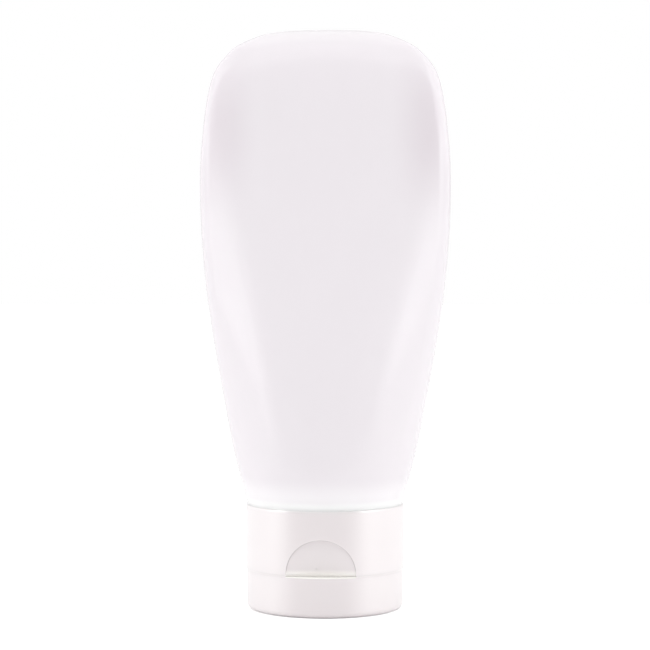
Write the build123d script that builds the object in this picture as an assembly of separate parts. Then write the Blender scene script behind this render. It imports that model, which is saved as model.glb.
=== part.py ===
from build123d import *

import os
from math import atan, cos, sin

# A travel bottle that stands on its flip-top cap: a soft squeeze body above a hard screw cap.
# Millimetres. The cap's flat end rests on z = 0, the thumb recess faces -Y, the lid's hinge +Y.

# Squeeze body
bottle_height = 129.0
body_width = 56.2
crown_depth = 20.0
crown_height = 22.2
body_wall = 1.3
shoulder_thickness = 1.5
neck_bore_radius = 9.3
neck_wall = 1.35
neck_lip_height = 1.1

# Cap base
cap_radius = 17.65
cap_top = 23.4
cap_wall = 1.2
cap_rim_round = 0.4
deck_thickness = 1.55
skirt_wall = 1.3
spout_bore_radius = 4.5
spout_wall = 1.5
spout_length = 3.55
valve_ring_bore_radius = 7.5
valve_ring_wall = 1.2
valve_ring_height = 3.4
register_wall = 0.95
register_height = 1.0

# Thumb recess in the front of the cap base, closed at its back by a thin wall
recess_radius = 7.65
recess_rise = 0.45
recess_low_depth = 2.6
recess_high_depth = 0.9
recess_back_wall = 1.1

# Flip lid
lid_height = 9.0
lid_step = 0.15
lid_wall = 1.3
lid_floor = 1.4
lid_edge_round = 1.3
plug_wall = 0.8
plug_entry = 1.2
plug_taper = 0.35
thumb_pad_height = 3.0
thumb_pad_backing = 0.9
thumb_pad_margin = 0.65

# Living hinge: two thin films on the folding line and a longer strap between them
hinge_inset = 0.45
hinge_relief = 0.25
film_width = 1.8
film_length = 1.9
film_thickness = 0.35
strap_width = 3.0
strap_length = 5.6
strap_thickness = 0.55
hinge_slot = 0.6

# Screw thread with one start: the same ridge stands on the collar and inside the cap
thread_pitch = 3.175
thread_height = 1.05
thread_root_width = 1.5
thread_crest_width = 0.8
thread_sink = 0.3
thread_lead_in = 1.35

# Neck collar, sealing washer, drip valve and valve retainer
collar_wall = 1.25
flange_thickness = 1.5
washer_thickness = 1.0
valve_flange_thickness = 1.2
valve_skin = 0.7
valve_head_round = 2.2
valve_slit_width = 0.15
valve_slit_length = 4.8
retainer_height = 1.5
retainer_bore_radius = 5.2

# Clearances
parting_gap = 0.05
seat_gap = 0.05
bond_gap = 0.05
body_seam_gap = 0.1
lip_gap = 0.1
valve_gap = 0.1
flank_gap = 0.12
thread_gap = 0.25
plug_gap = 0.3
valve_head_gap = 0.9
slip_gap = 0.3
flange_gap = 0.35
swing_gap = 0.4
overrun = 1.0

# Rows of the flank, foot to crown: height share, share of the widening from foot to belly,
# share of the foot's extra depth, and how round the ends are, from 0, sharp, to 1, half-round
flank_shares = [
    (0.000, 0.000, 1.000, 0.41),
    (0.030, 0.074, 1.076, 0.41),
    (0.070, 0.157, 1.145, 0.40),
    (0.140, 0.295, 1.103, 0.36),
    (0.276, 0.498, 0.966, 0.30),
    (0.411, 0.687, 0.814, 0.26),
    (0.545, 0.843, 0.607, 0.25),
    (0.678, 0.945, 0.386, 0.26),
    (0.760, 0.983, 0.262, 0.26),
    (0.840, 0.998, 0.150, 0.27),
    (0.920, 0.987, 0.058, 0.27),
    (1.000, 0.935, 0.000, 0.28),
]

# Rows of the crown above it: height share, width share, depth share and the same roundness
crown_shares = [
    (0.270, 0.949, 0.955, 0.29),
    (0.514, 0.906, 0.875, 0.29),
    (0.631, 0.865, 0.810, 0.30),
    (0.734, 0.801, 0.720, 0.30),
    (0.820, 0.733, 0.620, 0.29),
    (0.875, 0.662, 0.535, 0.28),
    (0.925, 0.573, 0.430, 0.27),
    (0.962, 0.484, 0.325, 0.26),
    (0.987, 0.355, 0.215, 0.25),
    (1.000, 0.214, 0.125, 0.24),
]

# Radii that follow one another, from the neck outwards
neck_radius = neck_bore_radius + neck_wall
collar_bore_radius = neck_radius + bond_gap
collar_root_radius = collar_bore_radius + collar_wall
neck_lip_radius = collar_root_radius - lip_gap
skirt_bore_radius = collar_root_radius + thread_height + thread_gap
skirt_radius = skirt_bore_radius + skirt_wall
washer_radius = skirt_bore_radius - slip_gap
cap_bore_radius = cap_radius - cap_wall
flange_radius = cap_bore_radius - flange_gap
valve_radius = valve_ring_bore_radius - valve_gap
valve_ring_radius = valve_ring_bore_radius + valve_ring_wall
washer_bore_radius = valve_ring_radius + slip_gap
valve_head_radius = spout_bore_radius - slip_gap
spout_radius = spout_bore_radius + spout_wall
plug_radius = spout_bore_radius - plug_gap
lid_radius = cap_radius - lid_step
lid_bore_radius = lid_radius - lid_wall
register_radius = lid_bore_radius - slip_gap
body_foot_radius = cap_radius - cap_rim_round

# Heights of the stack, from the lid upwards
deck_low = lid_height + parting_gap
deck_high = deck_low + deck_thickness
washer_low = deck_high + seat_gap
lip_low = washer_low + washer_thickness + seat_gap
lip_high = lip_low + neck_lip_height
collar_low = lip_high + seat_gap
body_foot = cap_top + body_seam_gap
flange_high = body_foot - seat_gap
flange_low = flange_high - flange_thickness
skirt_high = flange_low - slip_gap
valve_low = deck_high + seat_gap
retainer_low = valve_low + valve_flange_thickness + seat_gap
spout_low = deck_low - spout_length
plug_high = spout_low + plug_entry
valve_head_low = plug_high + valve_head_gap
collar_thread_low = collar_low + thread_lead_in
crown_foot = bottle_height - crown_height

# The cap's ridge lies above the collar's by as much as leaves their loaded flanks almost touching
flank_slope = (thread_root_width - thread_crest_width) / thread_height
ridge_offset = thread_root_width - flank_slope * (thread_height + thread_gap) / 2 + flank_gap
skirt_thread_low = collar_thread_low + ridge_offset
thread_rise = skirt_high - thread_root_width - skirt_thread_low

# The pad is a little wider than the recess above it
thumb_pad_width = 2 * (recess_radius + thumb_pad_margin)

# The folding line of the hinge runs along X here
hinge_y = cap_radius - hinge_inset
hinge_z = lid_height + parting_gap / 2
hinge_flat_y = hinge_y - hinge_relief


def tube(outer_radius, bore_radius, low, high):
    """An upright ring between two heights."""
    ring = Circle(outer_radius) - Circle(bore_radius)
    return Pos(0, 0, low) * extrude(ring, amount=high - low)


def disc(radius, low, high):
    """An upright round slab between two heights."""
    return Pos(0, 0, low) * extrude(Circle(radius), amount=high - low)


def block(width, near, far, low, high):
    """A box centred in X, between two places in Y and two heights."""
    size = Box(width, far - near, high - low)
    return Pos(0, (near + far) / 2, (low + high) / 2) * size


def turned(points):
    """A solid of revolution about Z from its radius and height points."""
    return revolve(Plane.XZ * make_face(Polyline(*points, close=True)), Axis.Z)


def oval(half_width, half_depth, roundness, height):
    """A level section of four tangent arcs: one round each end, one broad front and back."""
    sharpest = (half_width - half_depth) / (half_width + half_depth)
    angle = 2 * atan(sharpest + roundness * (1 - sharpest))
    across = cos(angle)
    along = sin(angle)
    offset = (half_width - half_depth) / (across + along - 1)
    end_radius = half_width - offset * across
    meet_x = offset * across + end_radius * across
    meet_y = end_radius * along
    right = ThreePointArc((meet_x, -meet_y), (half_width, 0), (meet_x, meet_y))
    back = ThreePointArc((meet_x, meet_y), (0, half_depth), (-meet_x, meet_y))
    left = ThreePointArc((-meet_x, meet_y), (-half_width, 0), (-meet_x, -meet_y))
    front = ThreePointArc((-meet_x, -meet_y), (0, -half_depth), (meet_x, -meet_y))
    return Pos(0, 0, height) * make_face([right, back, left, front])


def body_form(inset):
    """The body's closed form, from its foot to its crown, drawn in by inset."""
    sections = []
    half_width = body_width / 2
    half_depth = crown_depth / 2
    for height_share, width_share, depth_share, roundness in flank_shares:
        width = body_foot_radius + width_share * (half_width - body_foot_radius)
        depth = half_depth + depth_share * (body_foot_radius - half_depth)
        height = body_foot + height_share * (crown_foot - body_foot)
        sections.append(oval(width - inset, depth - inset, roundness, height))
    for height_share, width_share, depth_share, roundness in crown_shares:
        width = width_share * (half_width - inset)
        depth = depth_share * (half_depth - inset)
        height = crown_foot + height_share * (crown_height - inset)
        sections.append(oval(width, depth, roundness, height))
    return loft(sections)


def bottle_body():
    """The silicone body, its shoulder, and its neck with the lip that seals on the washer."""
    shoulder_high = body_foot + shoulder_thickness
    below_shoulder = block(body_width, -body_width, body_width, lip_low, shoulder_high)
    hollow = body_form(body_wall) - below_shoulder
    neck = disc(neck_radius, lip_low, shoulder_high)
    lip = disc(neck_lip_radius, lip_low, lip_high)
    bore = disc(neck_bore_radius, lip_low - overrun, shoulder_high + overrun)
    print("inside volume, ml:", round(hollow.volume / 1000, 1))
    return body_form(0) - hollow + neck + lip - bore


def thread_ridge(radius, reach, low):
    """One helical ridge on a wall of that radius; a negative reach stands inwards."""
    path = Pos(0, 0, low) * Helix(thread_pitch, thread_rise, radius)
    side = reach / abs(reach)
    profile = Polyline(
        (-side * thread_sink, -thread_root_width / 2),
        (reach, -thread_crest_width / 2),
        (reach, thread_crest_width / 2),
        (-side * thread_sink, thread_root_width / 2),
        close=True,
    )
    start = Plane(origin=path @ 0, x_dir=(1, 0, 0), z_dir=path % 0)
    return sweep(start * make_face(profile), path=path, is_frenet=True)


def neck_collar():
    """The rigid threaded collar on the neck; its flange lies under the body's shoulder."""
    collar = tube(collar_root_radius, collar_bore_radius, collar_low, flange_high)
    flange = tube(flange_radius, collar_bore_radius, flange_low, flange_high)
    ridge = thread_ridge(collar_root_radius, thread_height, collar_thread_low)
    return collar + flange + ridge


def sealing_washer():
    """The flat washer between the neck's lip and the deck of the cap."""
    return tube(washer_radius, washer_bore_radius, washer_low, washer_low + washer_thickness)


def recess_outline(margin, low):
    """A bar along Y with the recess's round outline, cut off level at that height."""
    centre = Pos(0, 0, deck_low + recess_rise)
    bar = centre * Rot(90, 0, 0) * extrude(Circle(recess_radius + margin), amount=cap_radius + overrun)
    return bar & block(2 * cap_radius, -2 * cap_radius, cap_radius, low, cap_top)


def recess_slab(thickness):
    """A slab that starts on the recess's sloping floor; a negative thickness is towards the front."""
    rise = recess_rise + recess_radius
    slope = (recess_low_depth - recess_high_depth) / rise
    low_y = recess_low_depth - cap_radius + slope * overrun
    high_y = recess_high_depth - cap_radius - slope * overrun
    low = deck_low - overrun
    high = deck_low + rise + overrun
    points = [(low_y, low), (low_y + thickness, low), (high_y + thickness, high), (high_y, high)]
    outline = Plane.YZ * make_face(Polyline(*points, close=True))
    return extrude(outline, amount=cap_radius, both=True)


def register_ring():
    """The low ring under the deck that centres the lid, open in front for the lid's thumb pad."""
    low = deck_low - register_height
    ring = tube(register_radius, register_radius - register_wall, low, deck_low)
    return ring - block(thumb_pad_width + 2 * slip_gap, -cap_radius, 0, low - overrun, deck_low)


def cap_base():
    """Deck, outer wall, threaded skirt, spout, valve ring and the thumb recess."""
    wall = tube(cap_radius, cap_bore_radius, deck_low, cap_top)
    rim = wall.edges().group_by(Axis.Z)[-1].sort_by(SortBy.LENGTH)[-1]
    base = fillet(rim, cap_rim_round) + disc(cap_radius, deck_low, deck_high)
    base += tube(skirt_radius, skirt_bore_radius, deck_high, skirt_high)
    recess_back = recess_outline(recess_back_wall, deck_low) & recess_slab(recess_back_wall)
    base += recess_back & disc(cap_radius, deck_low, cap_top)
    base -= recess_outline(0, deck_low - overrun) & recess_slab(-cap_radius)
    base -= disc(skirt_bore_radius, deck_high, cap_top)
    base += tube(valve_ring_radius, valve_ring_bore_radius, deck_high, deck_high + valve_ring_height)
    base += disc(spout_radius, spout_low, deck_low) + register_ring()
    base -= disc(spout_bore_radius, spout_low - overrun, deck_high + overrun)
    flat_high = deck_low + lid_height + swing_gap
    base -= block(cap_radius, hinge_flat_y, cap_radius + overrun, deck_low - overrun, flat_high)
    return base + thread_ridge(skirt_bore_radius, -thread_height, skirt_thread_low)


def flip_lid():
    """The lid with its plug for the spout and the pad that the thumb pushes."""
    cup = disc(lid_radius, 0, lid_height)
    cup = fillet(cup.edges().group_by(Axis.Z)[0], lid_edge_round)
    cup -= disc(lid_bore_radius, lid_floor, lid_height + overrun)
    pad_back = recess_low_depth - cap_radius + thumb_pad_backing
    pad = block(thumb_pad_width, -cap_radius, pad_back, lid_height - thumb_pad_height, lid_height)
    cup += pad & disc(lid_radius, 0, lid_height)
    plug = turned([
        (plug_radius - plug_wall, 0),
        (plug_radius, 0),
        (plug_radius, spout_low),
        (plug_radius - plug_taper, plug_high),
        (plug_radius - plug_wall, plug_high),
    ])
    cup += plug & disc(lid_bore_radius, lid_floor, lid_height)
    return cup - block(cap_radius, hinge_flat_y, cap_radius + overrun, -overrun, lid_height + overrun)


def hinge_strip(centre_x, width, length, thickness):
    """An upright strip across the folding line, flat on the lid and on the cap base."""
    near = hinge_flat_y + bond_gap
    strip = block(width, near, near + thickness, hinge_z - length / 2, hinge_z + length / 2)
    return Pos(centre_x, 0, 0) * strip


def living_hinge():
    """The two films and the strap between them."""
    film_x = (strap_width + film_width) / 2 + hinge_slot
    left = hinge_strip(-film_x, film_width, film_length, film_thickness)
    right = hinge_strip(film_x, film_width, film_length, film_thickness)
    return left + right + hinge_strip(0, strap_width, strap_length, strap_thickness)


def drip_valve():
    """The soft valve: a flange on the deck and a head in the spout, cut by a cross slit."""
    flange_top = valve_low + valve_flange_thickness
    head = disc(valve_head_radius, valve_head_low, flange_top)
    head = fillet(head.edges().group_by(Axis.Z)[0], valve_head_round)
    hollow = disc(valve_head_radius - valve_skin, valve_head_low + valve_skin, flange_top + overrun)
    hollow = fillet(hollow.edges().group_by(Axis.Z)[0], valve_head_round - valve_skin)
    valve = head + disc(valve_radius, valve_low, flange_top) - hollow
    slit = Box(valve_slit_length, valve_slit_width, 2 * valve_skin)
    cross = Pos(0, 0, valve_head_low + valve_skin / 2) * (slit + Rot(0, 0, 90) * slit)
    return valve - cross


def valve_retainer():
    """The ring that holds the valve's flange down on the deck."""
    return tube(valve_radius, retainer_bore_radius, retainer_low, retainer_low + retainer_height)


def build():
    """Every piece by its node name."""
    return {
        "bottle_body": bottle_body(),
        "neck_collar": neck_collar(),
        "sealing_washer": sealing_washer(),
        "cap_base": cap_base(),
        "drip_valve": drip_valve(),
        "valve_retainer": valve_retainer(),
        "flip_lid": flip_lid(),
        "living_hinge": living_hinge(),
    }


os.makedirs("parts", exist_ok=True)
for node, shape in build().items():
    export_step(shape, f"parts/{node}.step")
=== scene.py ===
from functools import partial
from math import asin, atan, atan2, cos, pi, radians, sin, sqrt, tan

import bmesh
import bpy
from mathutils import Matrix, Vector


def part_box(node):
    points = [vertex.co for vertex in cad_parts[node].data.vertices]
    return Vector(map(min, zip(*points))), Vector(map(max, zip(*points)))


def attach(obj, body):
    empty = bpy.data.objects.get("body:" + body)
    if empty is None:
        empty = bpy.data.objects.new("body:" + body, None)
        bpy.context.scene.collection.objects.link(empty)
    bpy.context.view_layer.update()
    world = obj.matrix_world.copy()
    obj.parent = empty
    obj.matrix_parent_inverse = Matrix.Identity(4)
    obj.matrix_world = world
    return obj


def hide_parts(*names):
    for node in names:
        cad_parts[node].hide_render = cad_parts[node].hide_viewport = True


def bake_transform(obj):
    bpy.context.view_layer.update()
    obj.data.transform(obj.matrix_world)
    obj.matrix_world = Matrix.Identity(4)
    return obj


# A soft travel bottle that stands on its flip-top cap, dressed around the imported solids.
# Sizes are written in millimetres and turned into metres with mm.
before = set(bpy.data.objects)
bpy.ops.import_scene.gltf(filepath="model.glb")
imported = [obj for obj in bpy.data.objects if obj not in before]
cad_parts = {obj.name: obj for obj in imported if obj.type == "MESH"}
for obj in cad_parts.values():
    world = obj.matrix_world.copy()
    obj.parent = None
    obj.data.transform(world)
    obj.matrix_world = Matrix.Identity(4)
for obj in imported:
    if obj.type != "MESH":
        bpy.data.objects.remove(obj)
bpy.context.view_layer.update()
mm = 0.001

# Places read from the frame

body_low, body_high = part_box("bottle_body")
cap_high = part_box("cap_base")[1]
lid_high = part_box("flip_lid")[1]

bottle_height = body_high.z
lip_low = body_low.z
collar_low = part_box("neck_collar")[0].z
cap_radius = cap_high.x
cap_top = cap_high.z
lid_radius = lid_high.x
lid_height = lid_high.z
hinge_flat_y = lid_high.y

# Roundings and small steps that several pieces share

finest_round = 0.05 * mm
fine_round = 0.1 * mm
rim_round = 0.15 * mm
edge_round = 0.2 * mm
root_round = 0.3 * mm
broad_round = 0.5 * mm
sharp_angle = radians(40)
weld_reach = 0.005 * mm
close_reach = 0.002 * mm

# Sizes of the squeeze body

box_slack = 0.001 * mm
body_top = bottle_height - box_slack
body_half_width = 28.05 * mm
body_half_depth = 10.0 * mm
body_foot = 23.5 * mm
body_foot_radius = 17.35 * mm
body_foot_half_depth = 17.25 * mm
body_foot_round = 0.03 * mm
body_drip_edge = 0.09 * mm
drip_edge_gap = 0.1 * mm
body_flare = 0.2 * mm
body_flare_rise = 0.5 * mm
mould_line = 0.04 * mm
mould_line_cosine = 0.9999
crown_height = 22.2 * mm
body_wall = 1.3 * mm
shoulder_high = 25.0 * mm
neck_bore_radius = 9.3 * mm
neck_radius = 10.65 * mm
neck_lip_radius = 11.85 * mm
neck_lip_high = 12.8 * mm
neck_root_round = 0.8 * mm
body_columns = 192
body_rows = 150
least_width = 1e-6

# Rows of the flank, foot to crown: height share, share of the widening, share of the foot's
# extra depth, and how round the ends are
flank_shares = [
    (0.000, 0.000, 1.000, 0.41),
    (0.030, 0.074, 1.076, 0.41),
    (0.070, 0.157, 1.145, 0.40),
    (0.140, 0.295, 1.103, 0.36),
    (0.276, 0.498, 0.966, 0.30),
    (0.411, 0.687, 0.814, 0.26),
    (0.545, 0.843, 0.607, 0.25),
    (0.678, 0.945, 0.386, 0.26),
    (0.760, 0.983, 0.262, 0.26),
    (0.840, 0.998, 0.150, 0.27),
    (0.920, 0.987, 0.058, 0.27),
    (1.000, 0.935, 0.000, 0.28),
]

# Rows of the crown above it: height share, width share, depth share and the same roundness
crown_shares = [
    (0.270, 0.949, 0.955, 0.29),
    (0.514, 0.906, 0.875, 0.29),
    (0.631, 0.865, 0.810, 0.30),
    (0.734, 0.801, 0.720, 0.30),
    (0.820, 0.733, 0.620, 0.29),
    (0.875, 0.662, 0.535, 0.28),
    (0.925, 0.573, 0.430, 0.27),
    (0.962, 0.484, 0.325, 0.26),
    (0.987, 0.355, 0.215, 0.25),
]
crown_tip_turn = 0.985
crown_tip_width_share = 0.214
crown_tip_depth_share = 0.125
pole_share = 0.12

# The foot's flare, from its start down: share of the flare and share of its rise
flare_shares = [(0.6, 0.6), (0.55, 0.25)]

# Sizes of the cap base

deck_low = 9.02 * mm
deck_high = 10.6 * mm
cap_bore_radius = 16.45 * mm
cap_rim_round = 0.03 * mm
cap_edge_round = 0.02 * mm
skirt_bore_radius = 13.25 * mm
skirt_radius = 14.55 * mm
skirt_high = 21.65 * mm
valve_ring_bore_radius = 7.5 * mm
valve_ring_radius = 8.7 * mm
valve_ring_high = 14.0 * mm
spout_bore_radius = 4.5 * mm
spout_radius = 6.0 * mm
spout_low = 5.5 * mm
spout_mouth_round = 0.35 * mm
spout_apron = 1 * mm
register_apron = 0.3 * mm
register_radius = 15.9 * mm
register_bore_radius = 14.95 * mm
register_low = 8.05 * mm
register_opening = 8.9 * mm
hinge_flat_high = 18.45 * mm
hinge_ledge = 0.01 * mm
recess_radius = 7.65 * mm
recess_rise = 0.45 * mm
recess_low_depth = 2.3 * mm
recess_high_depth = 0.9 * mm
recess_back_wall = 1.1 * mm
recess_edge_round = 0.06 * mm
recess_inner_round = 0.05 * mm
gate_radius = 0.22 * mm
gate_flatness = 0.45
gate_x = -0.95 * mm
gate_z = 10.6 * mm
cap_sides = 150
recess_sides = 56
wall_rows = 26
edge_steps = 4
floor_steps = 10
back_rows = 12
recess_centre = deck_low + recess_rise
recess_turn = pi / 2 + asin(recess_rise / recess_radius)
recess_corner_x = recess_radius * sin(recess_turn)
recess_corner_y = recess_low_depth - cap_radius
wall_corner = asin(recess_corner_x / cap_radius)
deck_corner = atan(recess_corner_x / -recess_corner_y)

# Sizes of the lid

lid_bore_radius = 16.2 * mm
lid_floor = 1.4 * mm
lid_edge_round = 1.3 * mm
lid_foot_hollow = 0.25 * mm
lid_foot_hollow_radius = 12.5 * mm
plug_radius = 4.2 * mm
plug_bore_radius = 3.4 * mm
plug_tip_radius = 3.85 * mm
plug_high = 6.7 * mm
plug_tip_round = 0.12 * mm
thumb_pad_low = 6.0 * mm
thumb_pad_back = -14.15 * mm
thumb_pad_reach = 0.1 * mm
lid_half_sides = 90

# Sizes of the collar, the thread and the hinge

collar_bore_radius = 10.70 * mm
collar_root_radius = 11.95 * mm
flange_radius = 16.1 * mm
flange_low = 21.95 * mm
flange_high = 23.45 * mm
collar_sides = 128
thread_pitch = 3.175 * mm
thread_height = 1.05 * mm
thread_root_width = 1.5 * mm
thread_crest_width = 0.8 * mm
thread_sink = 0.3 * mm
thread_rise = 4.76 * mm
thread_fade_share = 0.07
thread_steps = 161
thread_end_share = 0.0001
collar_thread_low = 14.2 * mm
skirt_thread_low = 15.39 * mm
hinge_z = 9.025 * mm
film_width = 1.8 * mm
film_length = 1.9 * mm
film_thickness = 0.35 * mm
film_x = 3.0 * mm
strap_width = 3.0 * mm
strap_length = 5.6 * mm
strap_thickness = 0.55 * mm
fold_half = 0.6 * mm
band_gap = 0.02 * mm
band_rows = 48
fold_thinning_share = 0.35
fold_inset_share = 0.25
band_end_share = 0.15
end_thinning_share = 0.3
end_narrowing_share = 0.06

# Floor, light and camera, with brightness 1 for the white of the page

floor_half = 3.0
floor_white = 0.93
floor_glow = 0.35
room_light = 1.25
front_light = 0.12
back_light = 0.78
front_turn = radians(52)
front_blur = radians(1.5)
back_turn = radians(45)
back_blur = radians(6)
front_fill = 0.8
side_fill = 1.02
lamp_aim = (0, 0, 0.08)
lamp_turn = radians(71)
lamp_distance = 0.9
lamp_height = 0.36
side_lamp = {"width": 0.44, "height": 0.7, "power": 1.5}
top_lamp_place = (0, 0.1, 0.8)
top_lamp = {"width": 0.8, "height": 0.4, "power": 0.5}
camera_distance = 485 * mm
camera_height = 78.7 * mm
camera_turn = radians(3.3)
camera_aim = (0, 0, 63.3 * mm)
camera_lens = 120
camera_sensor = 36

# The reach of a region without an end on one axis
wide = 1.0


# Meshes from rows and columns of points

def add_object(name, data):
    """A new object in the scene."""
    thing = bpy.data.objects.new(name, data)
    bpy.context.scene.collection.objects.link(thing)
    return thing


def finish_piece(mesh, body, material, replaced):
    """A piece with smooth shading and a finish, the body that carries it and the solid it shows."""
    piece = add_object(mesh.name, mesh)
    for polygon in mesh.polygons:
        polygon.use_smooth = True
    mesh.set_sharp_from_angle(angle=sharp_angle)
    weighted = piece.modifiers.new("even shading", "WEIGHTED_NORMAL")
    weighted.keep_sharp = True
    mesh.materials.append(material)
    if body:
        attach(piece, body)
    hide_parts(replaced)
    return piece


def rounded(corners, steps=4):
    """The points of an outline: each corner has two places, a rounding and what else goes along."""
    points = []
    for index, (radius, height, rounding, *kind) in enumerate(corners):
        if rounding == 0:
            points.append((radius, height, *kind))
            continue
        before = corners[index - 1]
        after = corners[(index + 1) % len(corners)]
        way_in = unit(radius - before[0], height - before[1])
        way_out = unit(after[0] - radius, after[1] - height)
        turn = way_in[0] * way_out[0] + way_in[1] * way_out[1]
        reach = rounding * sqrt((1 - turn) / (1 + turn))
        start = (radius - way_in[0] * reach, height - way_in[1] * reach)
        end = (radius + way_out[0] * reach, height + way_out[1] * reach)
        for step in range(steps + 1):
            points.append((*bent(start, (radius, height), end, step / steps, turn), *kind))
    return points


def unit(x, y):
    """The same direction with a length of 1."""
    length = sqrt(x * x + y * y)
    return x / length, y / length


def bent(start, corner, end, share, turn):
    """A point on the arc that leaves start towards the corner and reaches end."""
    weight = sqrt((1 + turn) / 2)
    first = (1 - share) ** 2
    middle = 2 * share * (1 - share) * weight
    last = share ** 2
    total = first + middle + last
    return (
        (first * start[0] + middle * corner[0] + last * end[0]) / total,
        (first * start[1] + middle * corner[1] + last * end[1]) / total,
    )


def around(radius, angle, height):
    """A point at that angle from the front, which is -Y."""
    return radius * sin(angle), -radius * cos(angle), height


def skin_columns(name, columns, closed=True):
    """A skin of quads through equal columns of points that go round the object."""
    rows = len(columns[0])
    points = [point for column in columns for point in column]
    faces = []
    for index in range(len(columns)):
        here = index * rows
        there = (index + 1) % len(columns) * rows
        for row in range(rows if closed else rows - 1):
            above = (row + 1) % rows
            faces.append((here + row, there + row, there + above, here + above))
    mesh = bpy.data.meshes.new(name)
    mesh.from_pydata(points, [], faces)
    return close_mesh(mesh)


def close_mesh(mesh):
    """Merges points that coincide, drops what has no area and turns the faces outwards."""
    skin = bmesh.new()
    skin.from_mesh(mesh)
    bmesh.ops.remove_doubles(skin, verts=skin.verts, dist=close_reach)
    bmesh.ops.dissolve_degenerate(skin, edges=skin.edges, dist=close_reach / 2)
    bmesh.ops.recalc_face_normals(skin, faces=skin.faces)
    skin.to_mesh(mesh)
    skin.free()
    return mesh


def join_meshes(name, meshes):
    """One mesh of several closed skins."""
    skin = bmesh.new()
    for mesh in meshes:
        skin.from_mesh(mesh)
    whole = bpy.data.meshes.new(name)
    skin.to_mesh(whole)
    skin.free()
    return whole


# Node trees

class Term:
    """A value in a node tree that can stand in a sum as in plain Python."""

    def __init__(self, tree, socket):
        self.tree = tree
        self.socket = socket

    def __add__(self, other):
        return reckon(self.tree, "ADD", self, other)

    def __sub__(self, other):
        return reckon(self.tree, "SUBTRACT", self, other)

    def __rsub__(self, other):
        return reckon(self.tree, "SUBTRACT", other, self)

    def __mul__(self, other):
        return reckon(self.tree, "MULTIPLY", self, other)

    def __truediv__(self, other):
        return reckon(self.tree, "DIVIDE", self, other)

    def __rtruediv__(self, other):
        return reckon(self.tree, "DIVIDE", other, self)

    def __pow__(self, other):
        return reckon(self.tree, "POWER", self, other)

    def __abs__(self):
        return reckon(self.tree, "ABSOLUTE", self)


def feed(tree, socket, source):
    """Links a term or an output to the socket, or writes a plain value into it."""
    if isinstance(source, Term):
        source = source.socket
    if isinstance(source, bpy.types.NodeSocket):
        tree.links.new(source, socket)
    else:
        socket.default_value = source


def reckon(tree, operation, *terms, kind="ShaderNodeMath", output=0):
    """The result of one math node."""
    node = tree.nodes.new(kind)
    node.operation = operation
    for socket, term in zip(node.inputs, terms):
        feed(tree, socket, term)
    return Term(tree, node.outputs[output])


def add_node(tree, kind, **sources):
    """A node with its inputs named in lower case."""
    node = tree.nodes.new(kind)
    for name, source in sources.items():
        socket = next(s for s in node.inputs if s.name.lower().replace(" ", "_") == name)
        feed(tree, socket, source)
    return node


def split(tree, vector):
    """The X, Y and Z of a vector, by their names."""
    outputs = add_node(tree, "ShaderNodeSeparateXYZ", vector=vector).outputs
    return {socket.name: Term(tree, socket) for socket in outputs}


def smooth_step(tree, value, start, end, low=0.0, high=1.0):
    """Goes smoothly from the low to the high number while the value goes from start to end."""
    node = add_node(
        tree, "ShaderNodeMapRange", value=value, from_min=start, from_max=end,
        to_min=low, to_max=high)
    node.interpolation_type = "SMOOTHSTEP"
    return Term(tree, node.outputs["Result"])


def new_group(name, kind, inputs, outputs):
    """A node group with sockets by their kind, its inputs as terms and its output node's sockets."""
    group = bpy.data.node_groups.new(name, kind)
    for way, sockets in (("INPUT", inputs), ("OUTPUT", outputs)):
        for value, labels in sockets.items():
            for label in labels:
                group.interface.new_socket(label, in_out=way, socket_type="NodeSocket" + value)
    sources = group.nodes.new("NodeGroupInput").outputs
    entry = {socket.name: Term(group, socket) for socket in sources}
    out = group.nodes.new("NodeGroupOutput").inputs
    return group, entry, out


def new_shape_tree(name, inputs):
    """A geometry tree with those inputs that puts out its geometry."""
    return new_group(name, "GeometryNodeTree", inputs, {"Geometry": ["Geometry"]})


def unit_grid(tree, columns, rows):
    """A flat grid, and how far along and up it each point lies, from 0 to 1."""
    grid = add_node(
        tree, "GeometryNodeMeshGrid", size_x=1.0, size_y=1.0, vertices_x=columns, vertices_y=rows)
    place = split(tree, tree.nodes.new("GeometryNodeInputPosition").outputs[0])
    return grid, place["X"] + 0.5, place["Y"] + 0.5


def put_out_form(tree, grid, spot, finish, out):
    """Moves the grid's points to their spots, welds the seams and adds the finish."""
    x, y, z = spot
    place = add_node(tree, "ShaderNodeCombineXYZ", x=x, y=y, z=z).outputs[0]
    shaped = add_node(
        tree, "GeometryNodeSetPosition", geometry=grid.outputs["Mesh"], position=place)
    merged = add_node(
        tree, "GeometryNodeMergeByDistance", geometry=shaped.outputs[0], distance=weld_reach)
    real = add_node(tree, "GeometryNodeRealizeInstances", geometry=merged.outputs[0])
    dressed = add_node(
        tree, "GeometryNodeSetMaterial", geometry=real.outputs[0], material=finish)
    tree.links.new(dressed.outputs[0], out["Geometry"])


def mesh_from_tree(tree, name, values):
    """The plain mesh that the tree makes with these input values."""
    carrier = add_object(name, bpy.data.meshes.new(name))
    shaper = carrier.modifiers.new(tree.name, "NODES")
    shaper.node_group = tree
    for item in tree.interface.items_tree:
        if item.in_out == "INPUT":
            shaper[item.identifier] = values[item.name]
    bpy.context.view_layer.update()
    graph = bpy.context.evaluated_depsgraph_get()
    mesh = bpy.data.meshes.new_from_object(carrier.evaluated_get(graph))
    bpy.data.objects.remove(carrier)
    return mesh


# Squeeze body

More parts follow.
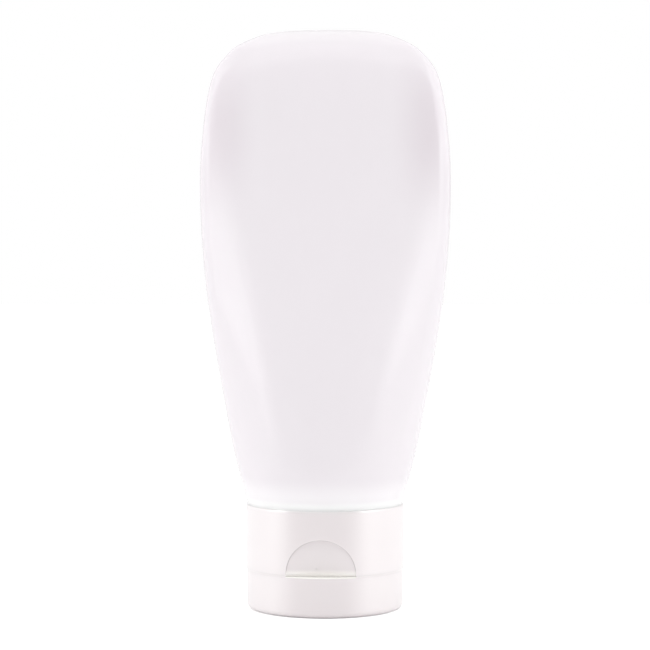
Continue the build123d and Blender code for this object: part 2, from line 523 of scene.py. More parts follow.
def form_rows():
    """Rows of the form: how far up as a turn from 0 to 1, half width, half depth and roundness.

    The half width and the half depth are shares of the body's greatest half width.
    """
    crown_foot = bottle_height - crown_height
    flank = [
        (body_foot, crown_foot), (body_foot_radius, body_half_width),
        (body_half_depth, body_foot_half_depth),
    ]
    crown = [(crown_foot, bottle_height), (0, body_half_width), (0, body_half_depth)]
    rows = []
    for spans, shares in ((flank, flank_shares), (crown, crown_shares)):
        for *row, roundness in shares:
            height, width, depth = [
                low + share * (high - low) for share, (low, high) in zip(row, spans)
            ]
            rows.append((turn_at(height), width, depth, roundness))
    tip_width = crown_tip_width_share * body_half_width
    tip_depth = crown_tip_depth_share * body_half_depth
    rows.append((crown_tip_turn, tip_width, tip_depth, roundness))
    rows.append((1, 0, 0, roundness))
    return [
        (turn, width / body_half_width, depth / body_half_width, roundness)
        for turn, width, depth, roundness in rows
    ]


def turn_at(height):
    """How far up the form that height lies, as a share of a quarter turn that ends level."""
    return asin((height - body_foot) / (bottle_height - body_foot)) / (pi / 2)


def curve_node(tree, factor, points):
    """A float curve through the points, which run from 0 to 1 both ways."""
    node = tree.nodes.new("ShaderNodeFloatCurve")
    curve = node.mapping.curves[0]
    for place, value in points[1:-1]:
        curve.points.new(place, value)
    curve.points[0].location = points[0]
    curve.points[-1].location = points[-1]
    node.mapping.update()
    feed(tree, node.inputs["Value"], factor)
    return Term(tree, node.outputs["Value"])


def body_form_tree():
    """The body's form: a grid whose rows are ovals of four tangent arcs."""
    tree, size, out = new_shape_tree("Squeeze body form", {
        "Float": ["Half width", "Foot height", "Top height", "Start", "Inset", "Mould line"],
        "Int": ["Columns", "Rows"],
        "Material": ["Finish"],
    })
    calc = partial(reckon, tree)
    grid, around_share, up_share = unit_grid(tree, size["Columns"] + 1, size["Rows"])
    turn = up_share * (1.0 - size["Start"]) + size["Start"]
    turns, *columns = zip(*form_rows())
    widths, depths, roundness = [
        curve_node(tree, turn, list(zip(turns, column))) for column in columns
    ]
    wall = size["Inset"] * calc("MINIMUM", (1.0 - turn) / pole_share, 1.0)
    half_width = widths * size["Half width"] - wall
    half_depth = depths * size["Half width"] - wall

    # The oval: a small arc round each end and a broad one in front and behind
    excess = half_width - half_depth
    sharpest = excess / calc("MAXIMUM", half_width + half_depth, least_width)
    angle = calc("ARCTANGENT", roundness * (1.0 - sharpest) + sharpest) * 2.0
    across = calc("COSINE", angle)
    along = calc("SINE", angle)
    offset = excess / (across + along - 1.0)
    end_radius = half_width - offset * across
    facing = around_share * (2 * pi)
    facing_x = calc("COSINE", facing)
    facing_y = calc("SINE", facing)
    side = calc("SIGN", facing_x)
    reach_x = calc("MINIMUM", abs(facing_x), across)
    reach_y = calc("MAXIMUM", abs(facing_y) - along, 0.0)
    # A fine ridge where the halves of the mould meet, on both sides of the body
    line = calc("GREATER_THAN", abs(facing_x), mould_line_cosine) * size["Mould line"]
    x = end_radius * facing_x + offset * reach_x * side + line * side
    y = end_radius * facing_y + offset * reach_y * calc("SIGN", facing_y)
    tallness = size["Top height"] - size["Foot height"] - size["Inset"]
    z = calc("SINE", turn * (pi / 2)) * tallness + size["Foot height"]
    put_out_form(tree, grid, (x, y, z), size["Finish"], out)
    return tree


def open_ring(skin, height):
    """The points of a skin's open edge at that height, in order of their angle."""
    edge = {
        point for edge in skin.edges if edge.is_boundary for point in edge.verts
        if abs(point.co.z - height) < edge_round
    }
    return sorted(edge, key=lambda point: atan2(point.co.y, point.co.x))


def make_squeeze_body(material):
    """Outer and inner wall from the form, closed through the shoulder and the neck."""
    tree = body_form_tree()
    values = {
        "Half width": body_half_width, "Foot height": body_foot, "Top height": body_top,
        "Columns": body_columns, "Rows": body_rows, "Finish": material,
    }
    outer_low = body_foot + body_flare_rise
    outer_start = turn_at(outer_low)
    outer = mesh_from_tree(tree, "outer form", {
        **values, "Start": outer_start, "Inset": 0.0, "Mould line": mould_line})
    inner_tall = bottle_height - body_foot - body_wall
    inner_start = asin((shoulder_high - body_foot) / inner_tall) / (pi / 2)
    inner = mesh_from_tree(tree, "inner form", {
        **values, "Start": inner_start, "Inset": body_wall, "Mould line": 0.0})

    skin = bmesh.new()
    skin.from_mesh(outer)
    skin.from_mesh(inner)
    first = open_ring(skin, outer_low)
    last = open_ring(skin, shoulder_high)
    drip_low = body_foot - body_drip_edge
    flare = [
        (body_foot_radius + out * body_flare, body_foot + up * body_flare_rise, 0)
        for out, up in flare_shares
    ]
    neck = rounded([
        (body_foot_radius, outer_low, 0),
        *flare,
        (body_foot_radius + body_flare, drip_low + body_foot_round, 0),
        (body_foot_radius + body_flare, drip_low, body_foot_round),
        (flange_radius + drip_edge_gap, drip_low, 0),
        (flange_radius + drip_edge_gap, body_foot, 0),
        (neck_radius, body_foot, root_round),
        (neck_radius, neck_lip_high, fine_round),
        (neck_lip_radius, neck_lip_high, edge_round),
        (neck_lip_radius, lip_low, edge_round),
        (neck_bore_radius, lip_low, edge_round),
        (neck_bore_radius, shoulder_high, neck_root_round),
        (last[0].co.xy.length, shoulder_high, 0),
    ])[1:-1]
    rings = [first]
    for radius, height in neck:
        rings.append([
            skin.verts.new((*(point.co.xy.normalized() * radius), height)) for point in first
        ])
    rings.append(last)
    for lower, upper in zip(rings, rings[1:]):
        for index in range(len(first)):
            after = (index + 1) % len(first)
            skin.faces.new((lower[index], lower[after], upper[after], upper[index]))
    bmesh.ops.recalc_face_normals(skin, faces=skin.faces)
    mesh = bpy.data.meshes.new("squeeze_body")
    skin.to_mesh(mesh)
    skin.free()
    finish_piece(mesh, "bottle", material, "bottle_body")


# Screw thread

def thread_tree():
    """A ridge that climbs a round wall and fades into it at both its ends."""
    tree, size, out = new_shape_tree("Screw thread ridge", {
        "Float": [
            "Radius", "Reach", "Sink", "Low", "Rise", "Pitch", "Root width", "Crest width",
            "Fade share",
        ],
        "Int": ["Steps"],
        "Material": ["Finish"],
    })
    calc = partial(reckon, tree)
    grid, along, section_share = unit_grid(tree, size["Steps"], 5)
    # Corners 0 to 4 of the section: root, crest, crest, root and the first one again
    corner = section_share * 4.0
    at_crest = calc("LESS_THAN", abs(corner - 1.5), 1.0)
    upper = calc("LESS_THAN", abs(corner - 2.5), 1.0)
    to_end = calc("MINIMUM", along, 1.0 - along)
    fade = smooth_step(tree, to_end, 0.0, size["Fade share"])
    # The first and the last section shrink to a point, which closes the ridge
    standing = calc("GREATER_THAN", to_end, thread_end_share)

    height = (size["Reach"] * fade + size["Sink"]) * at_crest * standing
    radius = size["Radius"] - size["Sink"] + height
    width = at_crest * (size["Crest width"] - size["Root width"]) + size["Root width"]
    spread = width * (upper - 0.5) * standing
    angle = along * (size["Rise"] / size["Pitch"]) * (2 * pi)
    x = radius * calc("COSINE", angle)
    y = radius * calc("SINE", angle)
    z = along * size["Rise"] + size["Low"] + spread
    put_out_form(tree, grid, (x, y, z), size["Finish"], out)
    return tree


def thread_on(tree, name, radius, side, low, material):
    """The ridge on a wall of that radius; side is 1 outwards and -1 inwards."""
    mesh = mesh_from_tree(tree, name, {
        "Radius": radius, "Reach": side * thread_height, "Sink": side * thread_sink,
        "Low": low, "Rise": thread_rise, "Pitch": thread_pitch,
        "Root width": thread_root_width, "Crest width": thread_crest_width,
        "Fade share": thread_fade_share, "Steps": thread_steps, "Finish": material,
    })
    return close_mesh(mesh)


def make_collar(tree, material):
    """The threaded collar with its flange under the body's shoulder."""
    profile = rounded([
        (collar_bore_radius, collar_low, rim_round),
        (collar_root_radius, collar_low, edge_round),
        (collar_root_radius, flange_low, root_round),
        (flange_radius, flange_low, edge_round),
        (flange_radius, flange_high, rim_round),
        (collar_bore_radius, flange_high, fine_round),
    ])
    ring = skin_columns("collar ring", [
        [around(radius, 2 * pi * index / collar_sides, height) for radius, height in profile]
        for index in range(collar_sides)
    ])
    ridge = thread_on(
        tree, "collar ridge", collar_root_radius, 1, collar_thread_low, material)
    mesh = join_meshes("threaded_collar", [ring, ridge])
    finish_piece(mesh, "bottle", material, "neck_collar")


# Cap base

def recess_floor_y(height):
    """How far forward the recess's sloping floor lies at that height."""
    slope = (recess_low_depth - recess_high_depth) / (recess_rise + recess_radius)
    return recess_low_depth - cap_radius - slope * (height - deck_low)


def cap_directions():
    """Each column's arc turn in the recess, or None, and its angles on the wall and on the deck."""
    directions = []
    for index in range(recess_sides + 1):
        share = 2 * index / recess_sides - 1
        directions.append((share * recess_turn, share * wall_corner, share * deck_corner))
    stops = [wall_corner, pi - asin(sqrt(cap_radius ** 2 - hinge_flat_y ** 2) / cap_radius), pi]
    half = []
    for start, stop in zip(stops, stops[1:]):
        count = max(2, round(cap_sides / 2 * (stop - start) / (pi - wall_corner)))
        half += [start + (stop - start) * step / count for step in range(1, count + 1)]
    angles = half + [2 * pi - angle for angle in reversed(half[:-1])]
    stretch = (pi - deck_corner) / (pi - wall_corner)
    for angle in angles:
        from_back = (pi - angle) * stretch
        directions.append((None, angle, pi - from_back))
    return directions


def on_outline(turn, radius):
    """Across and up of the recess's outline at that turn, cut off at the deck."""
    return radius * sin(turn), max(recess_centre + radius * cos(turn), deck_low)


def cap_wall_rows(turn, wall_angle, deck_angle, shares):
    """One column down the outer wall, and in front on through the thumb recess."""
    foot = deck_low + cap_edge_round
    foot_angle = wall_angle
    if turn is not None:
        outline_x, foot = on_outline(turn, recess_radius + recess_edge_round)
        foot_angle = asin(outline_x / cap_radius)
    top = cap_top - cap_rim_round
    points = []
    for share in shares:
        height = foot + share * (top - foot)
        angle = foot_angle + share * (wall_angle - foot_angle)
        x, y, z = around(cap_radius, angle, height)
        if turn is None and z < hinge_flat_high:
            y = min(y, hinge_flat_y)
        points.append((x, y, z))
    if turn is None:
        for step in range(1, edge_steps + 1):
            bend = pi / 2 * step / edge_steps
            radius = cap_radius - cap_edge_round * (1 - cos(bend))
            x, y, z = around(radius, wall_angle, deck_low + cap_edge_round * (1 - sin(bend)))
            points.append((x, min(y, hinge_flat_y), z))
        # Every column has the same count of points
        points += [points[-1]] * (edge_steps + floor_steps + 1)
        return points
    for step in range(1, edge_steps + 1):
        bend = pi / 2 * step / edge_steps
        x, z = on_outline(turn, recess_radius + recess_edge_round * (1 - sin(bend)))
        points.append((x, recess_edge_round * (1 - cos(bend)) - sqrt(cap_radius ** 2 - x * x), z))
    for step in range(edge_steps):
        bend = pi / 2 * step / (edge_steps - 1)
        x, z = on_outline(turn, recess_radius - recess_inner_round * (1 - cos(bend)))
        points.append((x, recess_floor_y(z) - recess_inner_round * (1 - sin(bend)), z))
    arc_x, arc_z = x, z
    chord_x = -recess_corner_y * tan(deck_angle)
    for step in range(1, floor_steps + 1):
        share = step / floor_steps
        z = max(arc_z + share * (deck_low + cap_edge_round - arc_z), deck_low)
        points.append((arc_x + share * (chord_x - arc_x), recess_floor_y(z), z))
    points.append((chord_x, recess_corner_y, deck_low))
    return points


def cap_inner_profile():
    """Radius, height and kind, from the deck's underside through the spout and back to the rim."""
    profile = rounded([
        (register_radius, deck_low, 0, "ring"),
        (register_radius, register_low, edge_round, "ring"),
        (register_bore_radius, register_low, edge_round, "ring"),
        (register_bore_radius, deck_low, 0, "ring"),
        (register_bore_radius - register_apron, deck_low, 0, ""),
        (spout_radius + spout_apron, deck_low, 0, ""),
        (spout_radius, deck_low, broad_round, ""),
        (spout_radius, spout_low, broad_round, ""),
        (spout_bore_radius, spout_low, spout_mouth_round, ""),
        (spout_bore_radius, deck_high, edge_round, ""),
        (valve_ring_bore_radius, deck_high, 0, ""),
        (valve_ring_bore_radius, valve_ring_high, rim_round, ""),
        (valve_ring_radius, valve_ring_high, rim_round, ""),
        (valve_ring_radius, deck_high, root_round, ""),
        (skirt_bore_radius, deck_high, edge_round, ""),
        (skirt_bore_radius, skirt_high, root_round, ""),
        (skirt_radius, skirt_high, root_round, ""),
        (skirt_radius, deck_high, root_round, "back"),
        (cap_bore_radius, deck_high, 0, "back"),
    ])
    back_high = recess_centre + recess_radius + recess_back_wall
    for step in range(1, back_rows + 1):
        height = deck_high + (back_high - deck_high) * step / back_rows
        profile.append((cap_bore_radius, height, "back"))
    rim = rounded([
        (cap_bore_radius, back_high, 0, ""),
        (cap_bore_radius, cap_top, rim_round, ""),
        (cap_radius, cap_top, cap_rim_round, ""),
        (cap_radius, deck_low, 0, ""),
    ])
    return profile + rim[1:-2]


def cap_inner_point(radius, height, kind, angle):
    """A point of the profile at that angle, moved by the thumb recess and the lid's pad."""
    x, y, z = around(radius, angle, height)
    if kind == "ring" and y < 0 and abs(x) < register_opening:
        z = deck_low
        y = max(y, recess_corner_y) if abs(x) < recess_corner_x else y
    if kind == "back" and y < 0:
        outline = sqrt(x * x + (z - recess_centre) ** 2)
        if outline < recess_radius + recess_back_wall:
            behind = recess_floor_y(z) + recess_back_wall
            y = min(max(y, behind), -skirt_radius)
    return x, y, z


def gate_mark():
    """The little nub that the mould's gate leaves on the recess's floor."""
    nub = bmesh.new()
    bmesh.ops.create_icosphere(nub, subdivisions=3, radius=gate_radius)
    for point in nub.verts:
        point.co.y *= gate_flatness
        point.co += Vector((gate_x, recess_floor_y(gate_z), gate_z))
    mesh = bpy.data.meshes.new("gate mark")
    nub.to_mesh(mesh)
    nub.free()
    return mesh


def make_cap_base(tree, material):
    """Wall, thumb recess, deck, spout, valve ring and threaded skirt."""
    top = cap_top - cap_rim_round
    ledge = (hinge_flat_high - deck_low - cap_edge_round) / (top - deck_low - cap_edge_round)
    ledge_step = hinge_ledge / (top - deck_low)
    shares = sorted(
        [row / wall_rows for row in range(wall_rows)] + [ledge - ledge_step, ledge + ledge_step],
        reverse=True,
    )
    profile = cap_inner_profile()
    columns = []
    for turn, wall_angle, deck_angle in cap_directions():
        column = cap_wall_rows(turn, wall_angle, deck_angle, shares)
        column += [cap_inner_point(*row, deck_angle) for row in profile]
        columns.append(column)
    wall = skin_columns("cap wall", columns)
    ridge = thread_on(tree, "skirt ridge", skirt_bore_radius, -1, skirt_thread_low, material)
    mesh = join_meshes("cap_shell", [wall, ridge, gate_mark()])
    finish_piece(mesh, "cap", material, "cap_base")


# Lid

def make_lid(material):
    """The cup with its flat end, the plug for the spout and the thumb pad."""
    outside = rounded([
        (0, 0, 0),
        (lid_foot_hollow_radius, lid_foot_hollow, edge_round),
        (lid_foot_hollow_radius + lid_foot_hollow, 0, edge_round),
        (lid_radius, 0, lid_edge_round),
        (lid_radius, lid_height, cap_edge_round),
        (lid_bore_radius, lid_height, cap_edge_round),
        (lid_bore_radius, thumb_pad_low, 0),
    ], steps=6)
    outside[0] = (0, lid_foot_hollow)
    inside = rounded([
        (lid_bore_radius, thumb_pad_low, 0),
        (lid_bore_radius, lid_floor, broad_round),
        (plug_radius, lid_floor, root_round),
        (plug_radius, spout_low, edge_round),
        (plug_tip_radius, plug_high, plug_tip_round),
        (plug_bore_radius, plug_high, fine_round),
        (plug_bore_radius, lid_floor, edge_round),
        (0, lid_floor, 0),
    ])
    half = [pi * step / lid_half_sides for step in range(lid_half_sides + 1)]
    flat_edge = pi - asin(sqrt(lid_radius ** 2 - hinge_flat_y ** 2) / lid_radius)
    pad_edge = asin(sqrt(lid_bore_radius ** 2 - thumb_pad_back ** 2) / lid_bore_radius)
    half = sorted(half + [flat_edge, pad_edge])
    angles = half + [2 * pi - angle for angle in reversed(half[1:-1])]
    pad_rows = len(outside)
    columns = []
    for angle in angles:
        column = []
        for index, (radius, height) in enumerate(outside + inside):
            x, y, z = around(radius, angle, height)
            on_pad = index < pad_rows and radius <= lid_bore_radius + cap_edge_round
            if on_pad and z > thumb_pad_low - thumb_pad_reach and y < 0:
                y = max(y, thumb_pad_back)
            column.append((x, min(y, hinge_flat_y), z))
        columns.append(column)
    mesh = skin_columns("lid_shell", columns, closed=False)
    finish_piece(mesh, "lid", material, "flip_lid")


# Hinge

def hinge_band(centre_x, width, length, thickness):
    """A strip across the folding line, thinner on it and towards both ends."""
    rings = []
    for row in range(band_rows + 1):
        height = length * (row / band_rows - 0.5)
        near_fold = max(0, 1 - abs(height) / fold_half) ** 2
        from_middle = abs(height) / (length / 2)
        near_end = max(0, from_middle - 1 + band_end_share) / band_end_share
        depth = thickness * (1 - fold_thinning_share * near_fold - end_thinning_share * near_end)
        half = width / 2 * (1 - end_narrowing_share * near_end)
        near = hinge_flat_y + band_gap + fold_inset_share * thickness * near_fold
        corners = rounded([
            (centre_x - half, near, finest_round),
            (centre_x + half, near, finest_round),
            (centre_x + half, near + depth, fine_round),
            (centre_x - half, near + depth, fine_round),
        ], steps=2)
        rings.append([(x, y, hinge_z + height) for x, y in corners])
    return skin_rings("hinge band", rings)


def skin_rings(name, rings):
    """A skin through equal rings of points, closed at both ends."""
    count = len(rings[0])
    points = [point for ring in rings for point in ring]
    faces = [tuple(range(count)), tuple(range(len(points) - count, len(points)))]
    for index in range(len(rings) - 1):
        low = index * count
        for place in range(count):
            after = (place + 1) % count
            faces.append((low + place, low + after, low + count + after, low + count + place))
    mesh = bpy.data.meshes.new(name)
    mesh.from_pydata(points, [], faces)
    return close_mesh(mesh)


def make_hinge(material):
    """Two films and the strap between them, thinned where the lid's hinge bends."""
    film = film_width, film_length, film_thickness
    bands = [
        hinge_band(-film_x, *film),
        hinge_band(film_x, *film),
        hinge_band(0, strap_width, strap_length, strap_thickness),
    ]
    mesh = join_meshes("hinge_bands", bands)
    piece = finish_piece(mesh, None, material, "living_hinge")
    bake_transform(piece)


# Materials

def srgb(red, green, blue):
    """A colour of 0 to 255 as the shader's linear values."""
    def linear(level):
        share = level / 255
        return share / 12.92 if share <= 0.04045 else ((share + 0.055) / 1.055) ** 2.4
    return linear(red), linear(green), linear(blue), 1.0


def moulded_surface_group():
    """Cloudy colour, uneven gloss and fine grain of a moulded surface."""
    group, entry, out = new_group("Moulded surface", "ShaderNodeTree", {
        "Color": ["Colour", "Cloud colour"],
        "Float": ["Cloud size", "Grain size", "Roughness", "Gloss change"],
    }, {"Color": ["Colour"], "Float": ["Roughness", "Height"]})
    where = group.nodes.new("ShaderNodeTexCoord").outputs["Object"]
    cloud, grain = [
        Term(group, add_node(
            group, "ShaderNodeTexNoise", vector=where, detail=detail, scale=1.0 / entry[size],
        ).outputs["Fac"])
        for size, detail in (("Cloud size", 2.0), ("Grain size", 3.0))
    ]
    colour = mixed_colour(group, cloud, entry["Colour"], entry["Cloud colour"])
    feed(group, out["Colour"], colour)
    feed(group, out["Roughness"], (cloud - 0.5) * entry["Gloss change"] + entry["Roughness"])
    feed(group, out["Height"], grain)
    return group


def faded(group, off, reach, blur):
    """1 up to the reach, and from there a smooth fall to 0 over the blur."""
    return smooth_step(group, off, reach, reach + blur, 1.0, 0.0)


def mask_group(name, inputs, reckon_mask):
    """A group whose mask is reckoned from the place on the object and the group's inputs."""
    group, entry, out = new_group(name, "ShaderNodeTree", inputs, {"Float": ["Mask"]})
    where = group.nodes.new("ShaderNodeTexCoord").outputs["Object"]
    feed(group, out["Mask"], reckon_mask(group, where, entry))
    return group


def region_mask(group, where, entry):
    """1 in a box, and fading out around it; both sides of X count as one."""
    place, centre, reach, blur = [
        split(group, vector) for vector in (where, entry["Centre"], entry["Reach"], entry["Blur"])
    ]
    place["X"] = abs(place["X"])
    mask = 1.0
    for axis in ("X", "Y", "Z"):
        off = abs(place[axis] - centre[axis])
        mask = faded(group, off, reach[axis], blur[axis]) * mask
    return mask


def outline_mask(group, where, entry):
    """1 outside a cubic oval in X and Z, and fading out below its middle."""
    place = split(group, where)
    above = reckon(group, "MAXIMUM", place["Z"] - entry["Low"], 0.0)
    oval = (abs(place["X"]) / entry["Side"]) ** 3.0 + (above / entry["Rise"]) ** 3.0
    outside = smooth_step(group, oval, 1.0 - entry["Blur"], entry["Blur"] + 1.0)
    return outside * smooth_step(group, place["Z"], entry["Low"] - entry["Fade"], entry["Low"])


def ring_mask(group, where, entry):
    """1 at a distance from a centre, measured along the weighted axes, up to a limit of Y."""
    calc = partial(reckon, group, kind="ShaderNodeVectorMath")
    away = calc("MULTIPLY", calc("SUBTRACT", where, entry["Centre"]), entry["Weights"])
    off = abs(calc("LENGTH", away, output="Value") - entry["Radius"])
    in_front = reckon(group, "LESS_THAN", split(group, where)["Y"], entry["Limit"])
    return faded(group, off, entry["Reach"], entry["Blur"]) * in_front


def mixed_colour(tree, mask, first, second):
    """The first colour, turned to the second where the mask is 1."""
    mix = tree.nodes.new("ShaderNodeMix")
    mix.data_type = "RGBA"
    colours = [socket for socket in mix.inputs if socket.type == "RGBA"]
    feed(tree, mix.inputs["Factor"], mask)
    feed(tree, colours[0], first)
    feed(tree, colours[1], second)
    return next(socket for socket in mix.outputs if socket.type == "RGBA")


def add_mask_colour(material, group, colour, sizes):
    """Turns the base colour to another one where the group's mask is 1."""
    tree = material.node_tree
    shader = tree.nodes["Principled BSDF"]
    before = shader.inputs["Base Color"].links[0].from_socket
    mask = tree.nodes.new("ShaderNodeGroup")
    mask.node_tree = group
    for name, value in sizes.items():
        mask.inputs[name].default_value = value
    after = mixed_colour(tree, mask.outputs["Mask"], before, colour)
    tree.links.new(after, shader.inputs["Base Color"])


def moulded_material(name, group, surface, shine, grain_strength=0.25, grain_depth=0.02 * mm):
    """A material with the moulded surface and its own shader values."""
    material = bpy.data.materials.new(name)
    material.use_nodes = True
    tree = material.node_tree
    shader = tree.nodes["Principled BSDF"]
    moulded = tree.nodes.new("ShaderNodeGroup")
    moulded.node_tree = group
    usual = {"Cloud size": 14 * mm, "Grain size": 0.35 * mm, "Gloss change": 0.08}
    for socket, value in {**usual, **surface}.items():
        moulded.inputs[socket].default_value = value
    for socket, value in shine.items():
        shader.inputs[socket].default_value = value
    bump = tree.nodes.new("ShaderNodeBump")
    bump.inputs["Strength"].default_value = grain_strength
    bump.inputs["Distance"].default_value = grain_depth
    tree.links.new(moulded.outputs["Height"], bump.inputs["Height"])
    tree.links.new(moulded.outputs["Colour"], shader.inputs["Base Color"])
    tree.links.new(moulded.outputs["Roughness"], shader.inputs["Roughness"])
    tree.links.new(bump.outputs["Normal"], shader.inputs["Normal"])
    return material


def make_materials():
    """Every finish of the bottle, by its name."""
    even = {"Subsurface Radius": (1, 1, 1)}
    cap_look = {
        "Colour": srgb(228, 220, 221), "Cloud colour": srgb(225, 217, 219), "Roughness": 0.36,
    }
    cap_shine = {
        **even, "IOR": 1.49, "Specular IOR Level": 0.8, "Coat Weight": 1.0,
        "Coat Roughness": 0.28, "Coat IOR": 2.4, "Subsurface Weight": 0.4,
        "Subsurface Scale": 1.2 * mm,
    }
    body_look = {
        "Colour": srgb(238, 233, 237), "Cloud colour": srgb(236, 231, 235), "Roughness": 0.12,
        "Gloss change": 0.04,
    }
    body_shine = {
        **even, "IOR": 1.42, "Specular IOR Level": 0.42, "Transmission Weight": 0.02,
        "Subsurface Weight": 0.5, "Subsurface Scale": 1.5 * mm,
    }
    collar_look = {
        "Colour": srgb(236, 234, 232), "Cloud colour": srgb(230, 228, 228), "Roughness": 0.4,
    }
    washer_look = {
        "Colour": srgb(222, 224, 226), "Cloud colour": srgb(206, 209, 212), "Roughness": 0.75,
        "Grain size": 0.5 * mm,
    }
    valve_look = {
        "Colour": srgb(240, 240, 242), "Cloud colour": srgb(233, 234, 238), "Roughness": 0.3,
    }
    valve_shine = {
        **even, "IOR": 1.42, "Transmission Weight": 0.35, "Subsurface Weight": 0.3,
        "Subsurface Scale": 2 * mm,
    }
    # Look, shine, and the grain's strength and depth where they aren't the usual ones
    finishes = {
        "frosted silicone": (body_look, body_shine, 0.12),
        "cap white": (cap_look, cap_shine),
        "lid white": (cap_look, cap_shine),
        "collar white": (collar_look, {"IOR": 1.49}),
        "washer foam": (washer_look, {"IOR": 1.45}, 0.6, 0.06 * mm),
        "valve silicone": (valve_look, valve_shine),
    }
    group = moulded_surface_group()
    return {
        name: moulded_material(name, group, *finish) for name, finish in finishes.items()
    }


def box(centre, reach, blur):
    """The sizes of a region."""
    return {"Centre": centre, "Reach": reach, "Blur": blur}


def level(height, reach, blur):
    """The sizes of a region on all sides of that height."""
    return box((0, 0, height), (wide, wide, reach), (wide, wide, blur))


def add_regions(finishes):
    """Painted light and painted shade in the base colours, the later ones on top of the earlier;
    wide stands for no end.
    """
    region = mask_group("Region", {"Vector": ["Centre", "Reach", "Blur"]}, region_mask)
    outline = mask_group(
        "Outline region", {"Float": ["Low", "Side", "Rise", "Blur", "Fade"]}, outline_mask)
    ring = mask_group("Ring region", {
        "Vector": ["Centre", "Weights"], "Float": ["Radius", "Reach", "Blur", "Limit"],
    }, ring_mask)
    # Painted light: a lighter band round the body's shoulder
    shoulder_painted_light = level(body_foot, 2.5 * mm, 4.5 * mm)
    # Painted light: the body's foot turned white against the shade in the seam
    foot_painted_light = level(body_foot, 0.5 * mm, 1.5 * mm)
    # Painted shade: the top of the crown a little darker, standing in for its dark edge
    crown_top_painted_shade = level(bottle_height, 1 * mm, 3.5 * mm)
    # Painted light: the cap's rim turned nearly white against the shade in the seam
    rim_painted_light = level(cap_top, 0.1 * mm, 0.3 * mm)
    # Painted light: the parting line between cap and lid lighter, against the shade in its gap
    parting_line_painted_light = level(lid_height, 0.04 * mm, 0.08 * mm)
    # Painted shade: the upper corners of the crown darker
    crown_corner_shade = box(
        (26 * mm, 0, 107 * mm), (1.5 * mm, wide, 2 * mm), (11 * mm, wide, 22 * mm))
    # Painted light: a lighter rim along the crown's outline, over the painted corner shade
    crown_rim_painted_light = {
        "Low": 104 * mm, "Side": 25.6 * mm, "Rise": 21.5 * mm, "Blur": 0.06, "Fade": 16 * mm,
    }
    # Painted light: the sides of the cap and the lid lighter than their front and back
    side_painted_light = box(
        (cap_radius, 0, lid_height), (6.5 * mm, wide, wide), (6.5 * mm, wide, wide))
    # Painted shade: darker in a ring 11 to 15 mm round the cap's axis, which takes in the recess
    # floor
    recess_shade = {
        "Centre": (0, 0, 0), "Weights": (1, 1, 0), "Radius": 13 * mm, "Reach": 2 * mm,
        "Blur": 2.3 * mm, "Limit": wide,
    }
    # A painted shadow: a thin dark line along the recess's arc
    arc_shade = {
        "Centre": (0, 0, recess_centre), "Weights": (1, 0, 1), "Radius": recess_radius - 0.04 * mm,
        "Reach": 0.07 * mm, "Blur": 0.07 * mm, "Limit": recess_corner_y + 0.1 * mm,
    }
    # Painted light: the bottom of the recess lighter, against the shade in its corner
    recess_foot_painted_light = box(
        (0, -16 * mm, deck_low), (recess_corner_x, 0.65 * mm, 0.3 * mm),
        (0.1 * mm, 0.1 * mm, 1.4 * mm))
    # A painted highlight along the lid's front edge in the recess
    lid_edge_painted_highlight = box(
        (0, -cap_radius, lid_height), (recess_corner_x, 2.5 * mm, 0.16 * mm),
        (0.1 * mm, 0.5 * mm, 0.06 * mm))
    # Painted light on the sides and the parting line of the cap and the lid
    side_and_line_painted_light = [
        (region, srgb(237, 230, 231), side_painted_light),
        (region, srgb(248, 241, 241), parting_line_painted_light),
    ]
    regions = {
        "frosted silicone": [
            (region, srgb(247, 243, 246), shoulder_painted_light),
            (region, srgb(255, 255, 255), foot_painted_light),
            (region, srgb(226, 219, 224), crown_corner_shade),
            (outline, srgb(236, 231, 235), crown_rim_painted_light),
            (region, srgb(235, 231, 234), crown_top_painted_shade),
        ],
        "cap white": [
            (region, srgb(255, 252, 252), rim_painted_light),
            *side_and_line_painted_light,
            (ring, srgb(222, 215, 216), recess_shade),
            (ring, srgb(196, 186, 188), arc_shade),
            (region, srgb(255, 250, 247), recess_foot_painted_light),
        ],
        "lid white": [*side_and_line_painted_light, (region, srgb(255, 253, 244), lid_edge_painted_highlight)],
    }
    for name, layers in regions.items():
        for group, colour, sizes in layers:
            add_mask_colour(finishes[name], group, colour, sizes)


def dress_node(node, material):
    """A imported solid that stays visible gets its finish."""
    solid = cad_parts[node]
    solid.data.materials.clear()
    solid.data.materials.append(material)


# Floor, light and camera

def make_floor():
    """A white floor that keeps the bottle's shadow."""
    mesh = bpy.data.meshes.new("floor")
    corners = [
        (x * floor_half, y * floor_half, 0) for x, y in ((-1, -1), (1, -1), (1, 1), (-1, 1))
    ]
    mesh.from_pydata(corners, [], [(0, 1, 2, 3)])
    floor = add_object("floor", mesh)
    material = bpy.data.materials.new("white floor")
    material.use_nodes = True
    tree = material.node_tree
    shader = tree.nodes["Principled BSDF"]
    shader.inputs["Base Color"].default_value = (floor_white, floor_white, floor_white, 1)
    shader.inputs["Roughness"].default_value = 0.9
    shader.inputs["Specular IOR Level"].default_value = 0.0
    shader.inputs["Emission Color"].default_value = (1, 1, 1, 1)
    seen = Term(tree, tree.nodes.new("ShaderNodeLightPath").outputs["Is Camera Ray"])
    feed(tree, shader.inputs["Emission Strength"], seen * floor_glow)
    mesh.materials.append(material)


def make_lamp(name, place, width, height, power):
    """A soft rectangular lamp that faces the bottle."""
    light = bpy.data.lights.new(name, "AREA")
    light.shape = "RECTANGLE"
    light.size = width
    light.size_y = height
    light.energy = power
    lamp = add_object(name, light)
    lamp.location = place
    aim(lamp, lamp_aim)


def aim(thing, target):
    """Turns a lamp or camera to look at the target."""
    way = Vector(target) - thing.location
    thing.rotation_euler = way.to_track_quat("-Z", "Y").to_euler()


def room_zone(tree, toward, turn, blur, light):
    """The room's brightness, which changes to that light within a turn around one way."""
    return smooth_step(tree, toward, cos(turn + blur), cos(turn - blur), room_light, light)


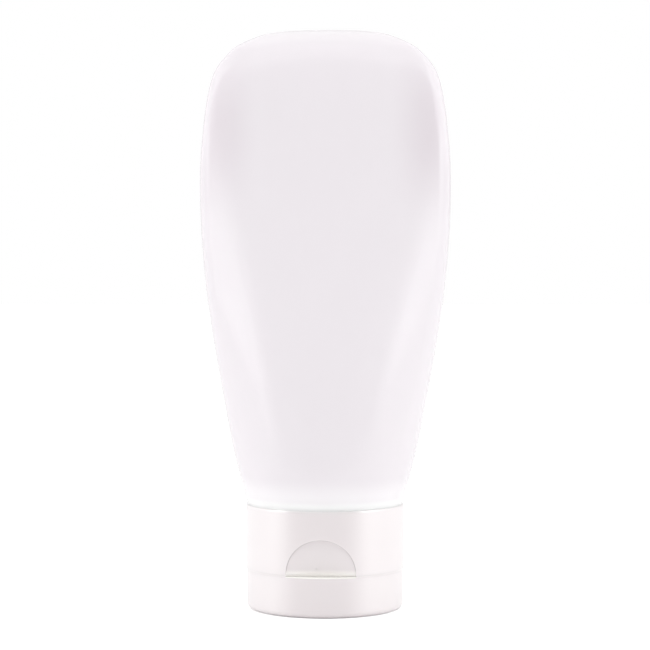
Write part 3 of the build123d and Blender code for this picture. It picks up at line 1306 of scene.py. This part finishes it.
def make_light():
    """A white studio that is dark behind the camera, with a soft lamp on each side and above."""
    world = bpy.data.worlds.new("white studio")
    bpy.context.scene.world = world
    world.use_nodes = True
    tree = world.node_tree
    calc = partial(reckon, tree)
    path = tree.nodes.new("ShaderNodeLightPath").outputs
    mirrored = calc("MAXIMUM", path["Is Glossy Ray"], path["Is Transmission Ray"])
    where = tree.nodes.new("ShaderNodeTexCoord").outputs["Generated"]
    backward = split(tree, where)["Y"]
    front = room_zone(tree, backward * -1.0, front_turn, front_blur, front_light)
    back = room_zone(tree, backward, back_turn, back_blur, back_light)
    bright = calc("MINIMUM", front, back)
    seen = calc("MAXIMUM", bright * mirrored, path["Is Camera Ray"])
    # What neither mirrors nor the camera see lights the matt part of every surface
    unseen = 1.0 - calc("MAXIMUM", mirrored, path["Is Camera Ray"])
    fill = add_node(
        tree, "ShaderNodeMapRange", value=bright, from_min=front_light, from_max=room_light,
        to_min=front_fill, to_max=side_fill).outputs["Result"]
    background = tree.nodes["Background"]
    background.inputs["Color"].default_value = (1, 1, 1, 1)
    feed(tree, background.inputs["Strength"], unseen * fill + seen)
    across = lamp_distance * sin(lamp_turn)
    before = -lamp_distance * cos(lamp_turn)
    make_lamp("left lamp", (-across, before, lamp_height), **side_lamp)
    make_lamp("right lamp", (across, before, lamp_height), **side_lamp)
    make_lamp("top lamp", top_lamp_place, **top_lamp)


def make_camera():
    """The photograph's view: a long lens, a little above the middle of the bottle."""
    data = bpy.data.cameras.new("camera")
    data.lens = camera_lens
    data.sensor_width = camera_sensor
    camera = add_object("camera", data)
    camera.location = (
        camera_distance * sin(camera_turn), -camera_distance * cos(camera_turn), camera_height)
    aim(camera, camera_aim)
    bpy.context.scene.camera = camera


# Everything together

bpy.context.scene.view_settings.view_transform = "Standard"
finishes = make_materials()
add_regions(finishes)
make_squeeze_body(finishes["frosted silicone"])
ridges = thread_tree()
make_collar(ridges, finishes["collar white"])
make_cap_base(ridges, finishes["cap white"])
make_lid(finishes["lid white"])
make_hinge(finishes["lid white"])
for node, name in (
        ("sealing_washer", "washer foam"), ("drip_valve", "valve silicone"),
        ("valve_retainer", "collar white")):
    dress_node(node, finishes[name])
make_floor()
make_light()
make_camera()
